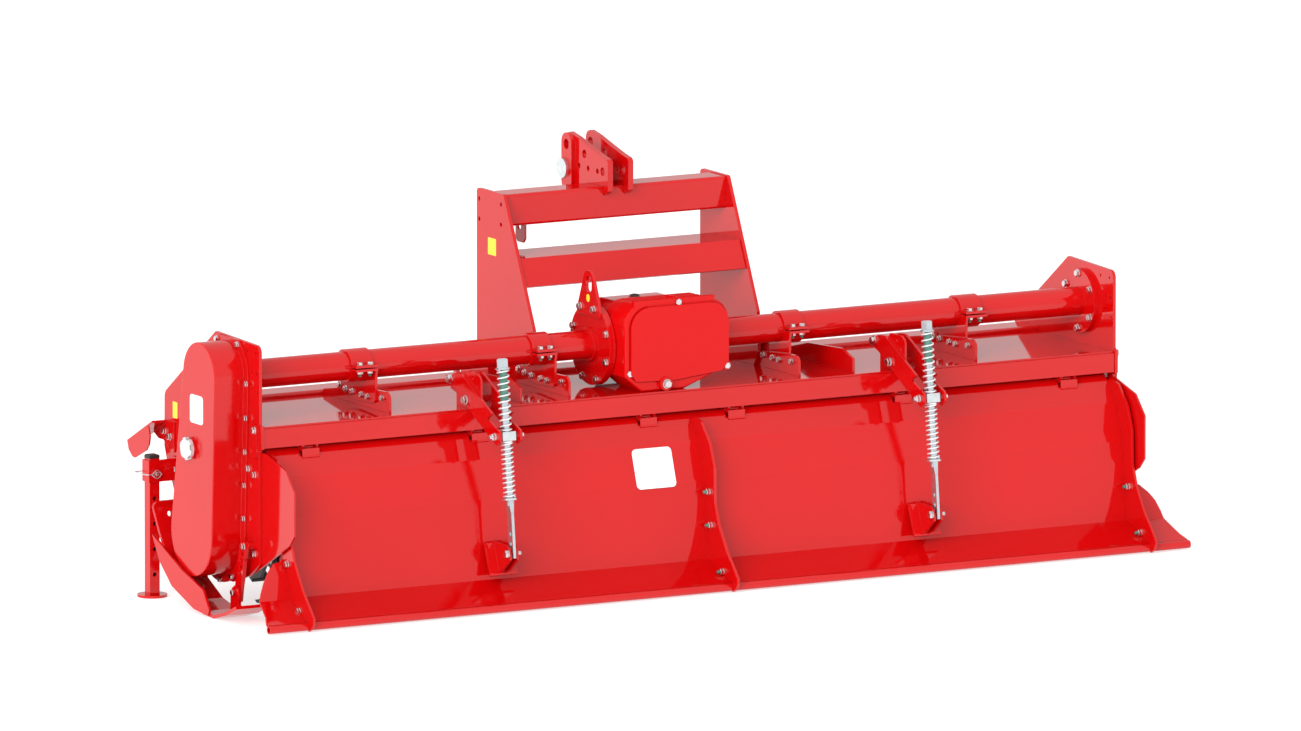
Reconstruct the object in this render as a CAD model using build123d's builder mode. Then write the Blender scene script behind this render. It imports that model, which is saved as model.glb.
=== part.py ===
from build123d import *
import math
import os

os.makedirs("parts", exist_ok=True)

# ---------------------------------------------------------------------------
# Rotary tiller, three-point mounted. Millimetres.
# X to the right seen from behind, Y forward to the tractor, Z up, floor at 0.
# Heights and depths below are measured from the side plates' rear edge
# (depth 0) and the floor; Y_MID moves the middle of the machine to Y = 0.
# ---------------------------------------------------------------------------
Y_MID = 226.0

# hood and side plates
PLATE_IN = 1498.0            # inner face of each side plate
PLATE_T = 10.0
PLATE_OUT = PLATE_IN + PLATE_T
DECK_TOP = 595.0
DECK_T = 6.0
DECK_Y0, DECK_Y1 = -4.0, 461.0
REAR_BEAM = (-10.0, 60.0, 529.0, 589.0)      # depth from/to, height from/to
FRONT_BEAM = (461.0, 575.0, 500.0, 608.0)

# cross tube and its clamps
TUBE_Y, TUBE_Z, TUBE_R, TUBE_WALL = 189.5, 727.0, 44.5, 8.0
CLAMP_SPANS = ((1036.0, 1112.0), (409.0, 479.0))     # inner and outer end of each clamp
CLAMP_T = 7.0

# tower
TOWER_X = 394.5
TOWER_T = 11.0
TOWER_TOP, TOWER_FRONT = 1165.0, 639.0
BAR_Y0, BAR_Z0, BAR_S = 475.0, 1062.0, 100.0
EAR_IN, EAR_T = 27.0, 18.0
TOP_PIN = (685.0, 1268.0)
TOP_HOLE_R = 16.15
HITCH_Y, HITCH_Z = 646.0, 583.0
HITCH_HOLE_R = 18.6
HITCH_IN, HITCH_OUT, HITCH_T = 400.0, 447.0, 12.0

# gearbox and drive case
BOX_X, BOX_HALF = -43.0, 183.0        # middle and half width of the cover
BOX_TOP = 868.0
BOX_STEP_Y, BOX_LOW_TOP = 157.0, 846.0     # behind this depth the casting is lower
BOX_Y0, BOX_Y1 = 101.0, 322.0
COVER_Y0 = 4.0
TUBE_FLANGE_R = 127.0
FLANGE_X = 234.0             # where the tube's flange meets the gearbox's
PTO_R, PTO_Z = 17.45, 700.0
CASE_OUT = 1616.0
CASE_TOP, CASE_TOP_R = (188.5, 737.0), 102.0      # upper round of the case
CASE_LOW, CASE_LOW_R = (239.5, 239.0), 131.0      # lower round
CASE_FLANGE, CASE_FLANGE_T = 25.0, 7.0
CASE_CUT = 849.0             # the flange ends level with the side plate's top
CAP_POS = (237.0, 505.5)

# rotor
ROTOR_Y, ROTOR_Z = 240.0, 229.0
ROTOR_TIP_R = 221.0
ROTOR_TUBE_R = 45.0
FLANGE_PITCH = 245.0
FLANGE_COUNT = 12
BLADE_T = 9.0
BLADE_REACH, END_REACH = 98.0, 62.0      # feet of the end flanges' blades are shorter

# tailgate
HINGE_Y, HINGE_Z = 14.0, 519.0
GATE_HALF = 1477.0
GATE_T = 4.0
PIPE_Y, PIPE_Z, PIPE_R, PIPE_HALF = -264.0, 16.5, 12.5, 1619.0

# spring units
SPRING_X = 746.0
BLOCK_Y, BLOCK_Z = -178.0, 533.0
EYE_Y, EYE_Z = -217.0, 174.0
ROD_R = 12.0
SPRING_R, SPRING_IN = 20.0, 14.5

# parking stands
LEG_X, LEG_Y, LEG_S = 1593.0, 536.0, 34.0
SLEEVE_S, SLEEVE_Z0, SLEEVE_Z1 = 44.0, 358.0, 425.0
LEG_TOP = 433.0
FOOT_R = 46.5
LEG_HOLES = (70.0, 149.0, 228.0, 306.5, 385.0)


def side(x):
    """Upright plane across the machine at X = x: local (depth, height)."""
    return Plane(origin=(x, -Y_MID, 0), x_dir=(0, 1, 0), z_dir=(1, 0, 0))


def level(z):
    """Level plane at height z: local (X, depth)."""
    return Plane(origin=(0, -Y_MID, z), x_dir=(1, 0, 0), z_dir=(0, 0, 1))


def rear(y):
    """Upright plane along the machine at depth y: local (X, height)."""
    return Plane(origin=(0, y - Y_MID, 0), x_dir=(1, 0, 0), z_dir=(0, -1, 0))


def save(part, name):
    part.label = name
    export_step(part, "parts/" + name + ".step")


def start(sgn, x0, x1):
    """Lower X of a span x0..x1 given on the right side, for side sgn."""
    return x0 if sgn > 0 else -x1


def near(part, y, z, tol=3.0):
    """Edges along X whose depth and height are within tol of (y, z)."""
    return [e for e in part.edges().filter_by(Axis.X)
            if abs(e.center().Y + Y_MID - y) < tol and abs(e.center().Z - z) < tol]


def sheet_points(line, t):
    """Closed outline of a bent sheet of thickness t along a list of points,
    the thickness lying to the left of the direction of travel."""
    n = len(line)
    normals = []
    for i in range(n - 1):
        dx, dz = line[i + 1][0] - line[i][0], line[i + 1][1] - line[i][1]
        d = math.hypot(dx, dz)
        normals.append((-dz / d, dx / d))
    far = []
    for i in range(n):
        if i == 0:
            nx, nz = normals[0]
            k = t
        elif i == n - 1:
            nx, nz = normals[-1]
            k = t
        else:
            nx = normals[i - 1][0] + normals[i][0]
            nz = normals[i - 1][1] + normals[i][1]
            d = math.hypot(nx, nz)
            nx, nz = nx / d, nz / d
            k = t / (nx * normals[i][0] + nz * normals[i][1])
        far.append((line[i][0] + nx * k, line[i][1] + nz * k))
    return list(line) + far[::-1]


# ---------------------------------------------------------------------------
# Side plates with their rear shields
# ---------------------------------------------------------------------------
SIDE_LINE = [(0, 845), (281, 853), (612, 618), (614, 452), (596, 404), (540, 300),
             (452, 196), (372, 118), (300, 92), (170, 92), (70, 124), (0, 170),
             (0, 521), (-14, 527), (-14, 600), (0, 600)]
SHIELD_LINE = [(84, 500), (-15, 516), (-147, 481), (-204, 420), (-204, 285), (-172, 252),
               (-5, 164), (84, 119)]

with BuildPart() as side_plates:
    for sgn in (-1, 1):
        with BuildSketch(side(start(sgn, PLATE_IN, PLATE_OUT))):
            with BuildLine():
                Polyline(*SIDE_LINE, close=True)
            make_face()
            # opening for the rotor's end
            with Locations((ROTOR_Y, ROTOR_Z)):
                Circle(62, mode=Mode.SUBTRACT)
            # rows of small fixing holes above the rear beam
            with Locations((78, 821), (23, 820), (47, 759), (17, 758), (47, 721), (13, 698)):
                Circle(4.5, mode=Mode.SUBTRACT)
        extrude(amount=PLATE_T)
        # doubling strip at the rear beam's end, with its bolt hole
        with BuildSketch(side(start(sgn, PLATE_OUT, PLATE_OUT + 8))):
            with Locations((21.5, 550)):
                SlotOverall(107, 33, rotation=90)
            with Locations((17, 584)):
                Circle(6.5, mode=Mode.SUBTRACT)
        extrude(amount=8)
    fillet(near(side_plates, 0, 845), 24)
    fillet(near(side_plates, 612, 618), 30)
save(side_plates.part, "side_plates")

with BuildPart() as side_shields:
    for sgn in (-1, 1):
        with BuildSketch(side(start(sgn, PLATE_IN - 6, PLATE_IN))):
            with BuildLine():
                Polyline(*SHIELD_LINE, close=True)
            make_face()
        extrude(amount=6)
save(side_shields.part, "side_shields")

# ---------------------------------------------------------------------------
# Hood: deck, rear and front beams, upright ribs
# ---------------------------------------------------------------------------
with BuildPart() as hood_deck:
    with BuildSketch(level(DECK_TOP - DECK_T)):
        with Locations((0, (DECK_Y0 + DECK_Y1) / 2)):
            Rectangle(2 * PLATE_IN, DECK_Y1 - DECK_Y0)
    extrude(amount=DECK_T)
save(hood_deck.part, "hood_deck")

with BuildPart() as hood_beams:
    with BuildSketch(side(-PLATE_IN)):
        y0, y1, z0, z1 = REAR_BEAM
        with Locations(((y0 + y1) / 2, (z0 + z1) / 2)):
            Rectangle(y1 - y0, z1 - z0)
            Rectangle(y1 - y0 - 12, z1 - z0 - 12, mode=Mode.SUBTRACT)
        y0, y1, z0, z1 = FRONT_BEAM
        with Locations(((y0 + y1) / 2, (z0 + z1) / 2)):
            RectangleRounded(y1 - y0, z1 - z0, 12)
            RectangleRounded(y1 - y0 - 16, z1 - z0 - 16, 5, mode=Mode.SUBTRACT)
    extrude(amount=2 * PLATE_IN)
    # closing strip that hangs inside the hinge line, between the rear shields
    with BuildSketch(side(-PLATE_IN + 7)):
        with Locations((45, 505.5)):
            Rectangle(4, 51)
    extrude(amount=2 * PLATE_IN - 14)
save(hood_beams.part, "hood_beams")

UPRIGHT_LINE = [(38, DECK_TOP), (38, 659), (120, 656), (300, 640), (461, 612), (461, DECK_TOP)]
with BuildPart() as hood_uprights:
    for x, _ in CLAMP_SPANS:
        for a in (x - 8, -x):
            with BuildSketch(side(a)):
                with BuildLine():
                    Polyline(*UPRIGHT_LINE, close=True)
                make_face()
                with Locations((61, 631)):
                    Circle(6.5, mode=Mode.SUBTRACT)
            extrude(amount=8)
    for a in (590.0 - 8, -590.0):
        with BuildSketch(side(a)):
            with BuildLine():
                Polyline((20, DECK_TOP), (20, 640), (90, 662), (300, 650), (461, 612),
                         (461, DECK_TOP), close=True)
            make_face()
        extrude(amount=8)
    fillet(near(hood_uprights, 38, 659, 1.0), 24)
save(hood_uprights.part, "hood_uprights")

# ---------------------------------------------------------------------------
# Cross tubes with their end flanges
# ---------------------------------------------------------------------------
with BuildPart() as cross_tubes:
    for x0, x1, r in ((-PLATE_IN, -FLANGE_X, TUBE_R), (-FLANGE_X - 16, -FLANGE_X, TUBE_FLANGE_R),
                      (-FLANGE_X - 26, -FLANGE_X - 16, TUBE_R + 8), (-PLATE_IN, -PLATE_IN + 16, 100.0),
                      (BOX_X + BOX_HALF, PLATE_IN, TUBE_R), (BOX_X + BOX_HALF, BOX_X + BOX_HALF + 14, 66.0),
                      (PLATE_IN - 16, PLATE_IN, 100.0)):
        with BuildSketch(side(x0)):
            with Locations((TUBE_Y, TUBE_Z)):
                Circle(r)
                Circle(TUBE_R - TUBE_WALL, mode=Mode.SUBTRACT)
        extrude(amount=x1 - x0)
save(cross_tubes.part, "cross_tubes")

# ---------------------------------------------------------------------------
# Tube clamps: upper and lower half shells with rear and front ears
# ---------------------------------------------------------------------------
CR0, CR1 = TUBE_R, TUBE_R + CLAMP_T
with BuildPart() as clamp_caps:
    for c0, c1 in CLAMP_SPANS:
        for a in (-c1, c0):
            with BuildSketch(side(a)):
                with Locations((TUBE_Y, TUBE_Z)):
                    Circle(CR1)
                with Locations((TUBE_Y, TUBE_Z + 6)):
                    Rectangle(2 * (CR1 + 30), 8)
                with Locations((TUBE_Y, TUBE_Z)):
                    Circle(CR0, mode=Mode.SUBTRACT)
                with Locations((TUBE_Y, TUBE_Z - 98)):
                    Rectangle(260, 200, mode=Mode.SUBTRACT)
            extrude(amount=c1 - c0)
save(clamp_caps.part, "clamp_caps")

BRACKET_LINE = [(122, 616), (114, 626), (112, 700), (TUBE_Y - CR1 - 30, TUBE_Z - 10), (TUBE_Y - CR1 - 30, TUBE_Z - 2),
                (TUBE_Y + CR1 + 30, TUBE_Z - 2), (TUBE_Y + CR1 + 30, TUBE_Z - 10), (352, 652),
                (352, 640), (300, 618), (232, 610)]
with BuildPart() as clamp_brackets:
    for c0, c1 in CLAMP_SPANS:
        for sgn in (-1, 1):
            a = -c1 if sgn < 0 else c0
            with BuildSketch(side(a)):
                with Locations((TUBE_Y, TUBE_Z)):
                    Circle(CR1)
                with Locations((TUBE_Y, TUBE_Z - 6)):
                    Rectangle(2 * (CR1 + 30), 8)
                with Locations((TUBE_Y, TUBE_Z)):
                    Circle(CR0, mode=Mode.SUBTRACT)
                with Locations((TUBE_Y, TUBE_Z + 98)):
                    Rectangle(260, 200, mode=Mode.SUBTRACT)
            extrude(amount=c1 - c0)
            # side web down to the hood upright, on the clamp's inner end
            b = -c0 - 8 if sgn < 0 else c0
            with BuildSketch(side(b)):
                with BuildLine():
                    Polyline(*BRACKET_LINE, close=True)
                make_face()
                with Locations((TUBE_Y, TUBE_Z)):
                    Circle(CR0, mode=Mode.SUBTRACT)
            extrude(amount=8)
save(clamp_brackets.part, "clamp_brackets")

# ---------------------------------------------------------------------------
# Tower: two plates, upper bar, lower bent bar, top-link ears and pin
# ---------------------------------------------------------------------------
TOWER_LINE = [(468, 1165), (639, 1165), (639, 650), (676, 616), (684, 583), (672, 556), (646, 545),
              (612, 536), (575, 536), (575, 608), (461, 608), (461, DECK_TOP), (300, DECK_TOP),
              (272, 640), (279, 765)]
TOWER_HOLES = [(484, 1132), (622, 1132), (484, 1069), (622, 1069)]
with BuildPart() as tower_plates:
    for sgn in (-1, 1):
        with BuildSketch(side(sgn * TOWER_X - TOWER_T / 2)):
            with BuildLine():
                Polyline(*TOWER_LINE, close=True)
            make_face()
            with Locations(*TOWER_HOLES):
                Circle(7, mode=Mode.SUBTRACT)
            with Locations((HITCH_Y, HITCH_Z)):
                Circle(HITCH_HOLE_R, mode=Mode.SUBTRACT)
        extrude(amount=TOWER_T)
    fillet(near(tower_plates, 468, 1165, 2.0) + near(tower_plates, 639, 1165, 2.0), 14)
save(tower_plates.part, "tower_plates")

with BuildPart() as tower_bars:
    with BuildSketch(side(-TOWER_X + TOWER_T / 2)):
        with Locations((BAR_Y0 + BAR_S / 2, BAR_Z0 + BAR_S / 2)):
            RectangleRounded(BAR_S, BAR_S, 9)
            RectangleRounded(BAR_S - 16, BAR_S - 16, 3, mode=Mode.SUBTRACT)
        with BuildLine():
            Polyline(*sheet_points([(345, 892), (385, 976), (548, 976), (548, 905)], -10), close=True)
        make_face()
    extrude(amount=2 * TOWER_X - TOWER_T)
    # hose tab under the upper bar
    with BuildSketch(side(-293)):
        with BuildLine():
            Polyline((526, BAR_Z0), (526, 1010), (538, 997), (574, 997), (586, 1010), (586, BAR_Z0), close=True)
        make_face()
        with Locations((562, 1046)):
            Circle(11, mode=Mode.SUBTRACT)
    extrude(amount=6)
save(tower_bars.part, "tower_bars")

EAR_LINE = [(716, 1168), (716, 1282), (710, 1296), (694, 1304), (640, 1294), (584, 1279),
            (500, 1258), (454, 1249), (445, 1240), (445, 1150), (474, 1135), (474, BAR_Z0 + BAR_S),
            (576, BAR_Z0 + BAR_S), (576, 1120), (640, 1120)]
EAR_HOLES = [(595, 1248, 13.0), (479, 1208, 13.0), (629, 1207, 8.5), (571, 1206, 8.5), (512, 1205, 8.5)]
with BuildPart() as top_link_ears:
    for sgn in (-1, 1):
        x0 = EAR_IN if sgn > 0 else -EAR_IN - EAR_T
        with BuildSketch(side(x0)):
            with BuildLine():
                Polyline(*EAR_LINE, close=True)
            make_face()
            with Locations(TOP_PIN):
                Circle(TOP_HOLE_R, mode=Mode.SUBTRACT)
            for hy, hz, hr in EAR_HOLES:
                with Locations((hy, hz)):
                    Circle(hr, mode=Mode.SUBTRACT)
            with Locations((700, 1192)):
                Circle(12.7, mode=Mode.SUBTRACT)
        extrude(amount=EAR_T)
    # doubling strap outside the left ear
    with BuildSketch(side(-EAR_IN - EAR_T - 14)):
        with Locations((685, 1213)):
            SlotOverall(182, 64, rotation=90)
        with Locations(TOP_PIN):
            Circle(TOP_HOLE_R, mode=Mode.SUBTRACT)
        with Locations((700, 1192)):
            Circle(12.7, mode=Mode.SUBTRACT)
    extrude(amount=14)
save(top_link_ears.part, "top_link_ears")

with BuildPart() as top_link_pin:
    with BuildSketch(side(-EAR_IN - EAR_T - 22)):
        with Locations((700, 1192)):
            Circle(12.65)
    extrude(amount=2 * (EAR_IN + EAR_T) + 44)
    with BuildSketch(side(-EAR_IN - EAR_T - 24)):
        with Locations((700, 1192)):
            Circle(31)
    extrude(amount=9.5)
save(top_link_pin.part, "top_link_pin")

LUG_LINE = [(461, 608), (575, 608), (575, 536), (612, 536), (646, 545), (672, 556), (684, 583),
            (676, 616), (639, 650), (560, 676), (461, 650)]
with BuildPart() as lower_hitch_lugs:
    for sgn in (-1, 1):
        with BuildSketch(side(start(sgn, HITCH_OUT, HITCH_OUT + HITCH_T))):
            with BuildLine():
                Polyline(*LUG_LINE, close=True)
            make_face()
            with Locations((HITCH_Y, HITCH_Z)):
                Circle(HITCH_HOLE_R, mode=Mode.SUBTRACT)
        extrude(amount=HITCH_T)
        # web that ties the outer lug to the tower plate
        with BuildSketch(side(start(sgn, HITCH_IN, HITCH_OUT))):
            with BuildLine():
                Polyline((461, 608), (549, 608), (549, 618), (474, 618), (474, 650), (461, 650), close=True)
            make_face()
        extrude(amount=HITCH_OUT - HITCH_IN)
save(lower_hitch_lugs.part, "lower_hitch_lugs")

# ---------------------------------------------------------------------------
# Gearbox, its rear cover, the input shaft and the lifting eye
# ---------------------------------------------------------------------------
def box_points(inset):
    """Gearbox outline seen from behind, inset all round: the five lower
    corners, then the two rounded upper corners as start, middle, end."""
    x0, x1 = BOX_X - BOX_HALF + inset, BOX_X + BOX_HALF - inset
    top, r = BOX_TOP - inset, 68.0
    k = r * (1 - math.sqrt(0.5))
    low = [(x0, top - r), (x0, 645 + inset / 2), (-166 + inset / 2, DECK_TOP + inset),
           (-17 - inset / 2, DECK_TOP + inset), (x1, 655 + inset / 2), (x1, top - r)]
    right = [(x1, top - r), (x1 - k, top - k), (x1 - r, top)]
    left = [(x0 + r, top), (x0 + k, top - k), (x0, top - r)]
    return low, right, left


with BuildPart() as gearbox_housing:
    low, right, left = box_points(0.0)
    with BuildSketch(rear(BOX_Y0)):
        with BuildLine():
            Polyline(*low)
            ThreePointArc(*right)
            Line(right[-1], left[0])
            ThreePointArc(*left)
        make_face()
    extrude(amount=-(BOX_STEP_Y - BOX_Y0))
    fillet(gearbox_housing.faces().sort_by(Axis.Y)[-1].edges(), 8)
    low, right, left = box_points(BOX_TOP - BOX_LOW_TOP)
    with BuildSketch(rear(BOX_STEP_Y - 12)):
        with BuildLine():
            Polyline(*low)
            ThreePointArc(*right)
            Line(right[-1], left[0])
            ThreePointArc(*left)
        make_face()
    extrude(amount=-(BOX_Y1 - BOX_STEP_Y + 12))
    # neck to the left drive flange
    with BuildSketch(side(-FLANGE_X + 2)):
        with Locations((TUBE_Y, TUBE_Z)):
            Circle(86)
    extrude(amount=60)
    with BuildSketch(side(-FLANGE_X)):
        with Locations((TUBE_Y, TUBE_Z)):
            Circle(TUBE_FLANGE_R)
    extrude(amount=6)
    # seat of the right tube
    with BuildSketch(side(BOX_X + BOX_HALF - 40)):
        with Locations((TUBE_Y, TUBE_Z)):
            Circle(66)
    extrude(amount=40)
    # front bearing cap around the input shaft
    with BuildSketch(rear(BOX_Y1 + 34)):
        with Locations((0, PTO_Z)):
            Circle(70)
    extrude(amount=34)
    with BuildSketch(rear(BOX_Y1 + 34)):
        with Locations((0, PTO_Z)):
            Circle(21.05)
    extrude(amount=42, mode=Mode.SUBTRACT)
    # filler boss on top
    with BuildSketch(level(BOX_LOW_TOP - 10)):
        with Locations((-65, 240)):
            Circle(19)
    extrude(amount=18)
save(gearbox_housing.part, "gearbox_housing")

COVER_BOLTS = [(-209, 655), (134, 655), (-38, 866)]
with BuildPart() as gearbox_cover:
    low, right, left = box_points(0.0)
    with BuildSketch(rear(COVER_Y0 + 8)):
        with BuildLine():
            Polyline(*low)
            ThreePointArc(*right)
            Line(right[-1], left[0])
            ThreePointArc(*left)
        make_face()
    extrude(amount=-(BOX_Y0 - COVER_Y0 - 8))
    fillet(gearbox_cover.faces().sort_by(Axis.Y)[0].edges(), 7)
    # groove round the raised panel, then the panel
    with BuildSketch(rear(COVER_Y0 + 8)):
        with BuildLine():
            Polyline((-210.5, 792), (-210.5, 650.5), (-190, 626.6), (-60, 621.5), (113.3, 639.5), (139.5, 669),
                     (139.5, 792))
            ThreePointArc((139.5, 792), (119.1, 841.1), (70, 861.5))
            Line((70, 861.5), (-141, 861.5))
            ThreePointArc((-141, 861.5), (-190.1, 841.1), (-210.5, 792))
        make_face()
    extrude(amount=-3, mode=Mode.SUBTRACT)
    with BuildSketch(rear(COVER_Y0)):
        with BuildLine():
            Polyline((-207, 792), (-207, 652), (-188, 630), (-60, 625), (112, 643), (136, 670), (136, 792))
            ThreePointArc((136, 792), (116.7, 838.7), (70, 858))
            Line((70, 858), (-141, 858))
            ThreePointArc((-141, 858), (-187.7, 838.7), (-207, 792))
        make_face()
    extrude(amount=-14)
    # lip along the top of the flange
    with BuildSketch(level(BOX_TOP - 10)):
        with Locations((-51.5, COVER_Y0 + 16)):
            Rectangle(283, 14)
    extrude(amount=20)
    # bolt bosses and the drain boss
    with BuildSketch(rear(COVER_Y0 + 10)):
        with Locations(*COVER_BOLTS):
            Circle(15)
    extrude(amount=-60)
    with BuildSketch(rear(COVER_Y0 - 6)):
        with Locations((-86, 617)):
            Circle(21.5)
    extrude(amount=-30)
save(gearbox_cover.part, "gearbox_cover")

with BuildPart() as input_shaft:
    with BuildSketch(rear(BOX_Y1 + 132)):
        with Locations((0, PTO_Z)):
            Circle(PTO_R)
    extrude(amount=136)
    with BuildSketch(rear(BOX_Y1 + 56)):
        with Locations((0, PTO_Z)):
            Circle(21)
    extrude(amount=60)
    # groove that takes the coupling's lock
    with BuildSketch(rear(BOX_Y1 + 108)):
        with Locations((0, PTO_Z)):
            Circle(PTO_R + 2)
            Circle(PTO_R - 2.8, mode=Mode.SUBTRACT)
    extrude(amount=9, mode=Mode.SUBTRACT)
save(input_shaft.part, "input_shaft")

EYE_MID = TUBE_Y - 7
with BuildPart() as lifting_eye:
    with BuildSketch(side(-FLANGE_X - 26)):
        with BuildLine():
            Line((EYE_MID - 74, 818), (EYE_MID + 74, 818))
            Line((EYE_MID + 74, 818), (EYE_MID + 72, 834))
            Line((EYE_MID + 72, 834), (EYE_MID + 30, 936))
            ThreePointArc((EYE_MID + 30, 936), (EYE_MID, 957), (EYE_MID - 30, 936))
            Line((EYE_MID - 30, 936), (EYE_MID - 72, 834))
            Line((EYE_MID - 72, 834), (EYE_MID - 74, 818))
        make_face()
        with Locations((EYE_MID - 3, 915)):
            SlotOverall(52, 36, rotation=90, mode=Mode.SUBTRACT)
    extrude(amount=10)
save(lifting_eye.part, "lifting_eye")

# ---------------------------------------------------------------------------
# Left drive case with its bolted flange and the inspection cap
# ---------------------------------------------------------------------------
def tangent_capsule(r1, r2):
    """Two arcs of different radius joined by their outer tangents."""
    c1, c2 = CASE_TOP, CASE_LOW
    dx, dz = c2[0] - c1[0], c2[1] - c1[1]
    d = math.hypot(dx, dz)
    base = math.atan2(dz, dx)
    off = math.acos((r1 - r2) / d)
    pts = []
    for s in (1, -1):
        a = base + s * off
        pts.append((c1[0] + r1 * math.cos(a), c1[1] + r1 * math.sin(a)))
        pts.append((c2[0] + r2 * math.cos(a), c2[1] + r2 * math.sin(a)))
    back = base + math.pi
    m1 = (c1[0] + r1 * math.cos(back), c1[1] + r1 * math.sin(back))
    m2 = (c2[0] + r2 * math.cos(base), c2[1] + r2 * math.sin(base))
    return pts, m1, m2


with BuildPart() as drive_case:
    for x0, grow in ((-CASE_OUT, 0.0), (-PLATE_OUT - CASE_FLANGE_T, CASE_FLANGE)):
        pts, m1, m2 = tangent_capsule(CASE_TOP_R + grow, CASE_LOW_R + grow)
        with BuildSketch(side(x0)):
            with BuildLine():
                Line(pts[0], pts[1])
                ThreePointArc(pts[1], m2, pts[3])
                Line(pts[3], pts[2])
                ThreePointArc(pts[2], m1, pts[0])
            make_face()
        extrude(amount=-PLATE_OUT - x0)
    fillet(drive_case.faces().sort_by(Axis.X)[0].edges(), 3)
    with BuildSketch(side(-PLATE_OUT - CASE_FLANGE_T)):
        with Locations((CASE_TOP[0], CASE_CUT + 20)):
            Rectangle(300, 40)
    extrude(amount=CASE_FLANGE_T, mode=Mode.SUBTRACT)
save(drive_case.part, "drive_case")

with BuildPart() as inspection_cap:
    with BuildSketch(side(-CASE_OUT - 24)):
        with Locations(CAP_POS):
            RegularPolygon(36, 12)
    extrude(amount=24)
save(inspection_cap.part, "inspection_cap")

# right rotor bearing on its side plate
with BuildPart() as right_bearing:
    with BuildSketch(side(PLATE_OUT)):
        with Locations((ROTOR_Y, ROTOR_Z)):
            Circle(96)
    extrude(amount=14)
    with BuildSketch(side(PLATE_OUT + 14)):
        with Locations((ROTOR_Y, ROTOR_Z)):
            Circle(66)
    extrude(amount=34)
    fillet(right_bearing.faces().sort_by(Axis.X)[-1].edges(), 8)
save(right_bearing.part, "right_bearing")

# ---------------------------------------------------------------------------
# Rotor
# ---------------------------------------------------------------------------
ROTOR_HALF = 1484.0
flange_xs = [(i - (FLANGE_COUNT - 1) / 2) * FLANGE_PITCH for i in range(FLANGE_COUNT)]
with BuildPart() as rotor_shaft:
    with BuildSketch(side(-ROTOR_HALF)):
        with Locations((ROTOR_Y, ROTOR_Z)):
            Circle(ROTOR_TUBE_R)
    extrude(amount=2 * ROTOR_HALF)
    for x in flange_xs:
        with BuildSketch(side(x - 6)):
            with Locations((ROTOR_Y, ROTOR_Z)):
                Circle(112)
        extrude(amount=12)
save(rotor_shaft.part, "rotor_shaft")


def blade_at(x, reach, hand):
    """One L-shaped blade bolted to a flange side, foot bent outwards."""
    face = x + 6 if hand > 0 else x - 6 - BLADE_T
    plane = side(face)
    with BuildPart() as blade:
        with BuildSketch(plane):
            with BuildLine():
                Polyline((60, -30), (112, -30), (168, -24), (206, 18), (208, 62), (186, 68),
                         (150, 34), (110, 26), (60, 26), close=True)
            make_face()
        extrude(amount=BLADE_T)
        # cutting foot: a plate at the tip, square to the arm
        foot = face if hand > 0 else face + BLADE_T - reach
        with BuildSketch(side(foot)):
            with BuildLine():
                Polyline((206.5, 14), (214, 12), (212.5, 58), (206, 66), (196, 70), (203, 58), close=True)
            make_face()
        extrude(amount=reach)
    return blade.part


axis_rotor = Axis((0, ROTOR_Y - Y_MID, ROTOR_Z), (1, 0, 0))
move_rotor = Location((0, ROTOR_Y, ROTOR_Z))
blades = []
for i, x in enumerate(flange_xs):
    reach = END_REACH if i in (0, len(flange_xs) - 1) else BLADE_REACH
    right = blade_at(x, reach, 1)
    left = blade_at(x, reach, -1)
    for k in range(3):
        for j, base in enumerate((left, right)):
            ang = 120 * k + 60 * j + 25 * i
            placed = base.moved(Location((0, ROTOR_Y, ROTOR_Z)))
            blades.append(placed.rotate(axis_rotor, ang))
rotor_blades = Compound(label="rotor_blades", children=blades)
export_step(rotor_blades, "parts/rotor_blades.step")

# ---------------------------------------------------------------------------
# Tailgate
# ---------------------------------------------------------------------------
HINGE_XS = (-1335.0, -745.0, -155.0, 155.0, 745.0, 1335.0)
GATE_LINE = [(17, 517), (-51, 442), (-91, 325), (-119, 79), (-254.7, 25.15)]
GATE_BACK = sheet_points(GATE_LINE, -GATE_T)[len(GATE_LINE):]      # rear face, from the foot up
with BuildPart() as tailgate_sheet:
    with BuildSketch(side(-GATE_HALF)):
        with BuildLine():
            Polyline(*sheet_points(GATE_LINE, -GATE_T), close=True)
        make_face()
    extrude(amount=2 * GATE_HALF)
    # notches around the hinges
    with BuildSketch(level(496)):
        with Locations(*[(x, 10) for x in HINGE_XS]):
            Rectangle(66, 60)
    extrude(amount=40, mode=Mode.SUBTRACT)
save(tailgate_sheet.part, "tailgate_sheet")

RIB_LINE = [(-8, 508), (-28, 512), (-69, 501), (-123, 443), (-152, 370), (-155, 264), (-178, 200),
            (-230, 122), (-277, 72), (-300, 46), (-302, 30), (-290, 10), (-270, 1)]
with BuildPart() as tailgate_ribs:
    for a, t in ((-GATE_HALF - 8, 8), (-5.0, 10), (GATE_HALF, 8)):
        inner = GATE_BACK[:-1] + [(-0.3, 505.0)] if t == 10 else GATE_LINE[:0:-1] + [(3.6, 502.2)]
        with BuildSketch(side(a)):
            with BuildLine():
                Polyline(*RIB_LINE, *inner, close=True)
            make_face()
            with Locations((PIPE_Y, PIPE_Z)):
                Circle(PIPE_R, mode=Mode.SUBTRACT)
        extrude(amount=t)
save(tailgate_ribs.part, "tailgate_ribs")

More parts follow.
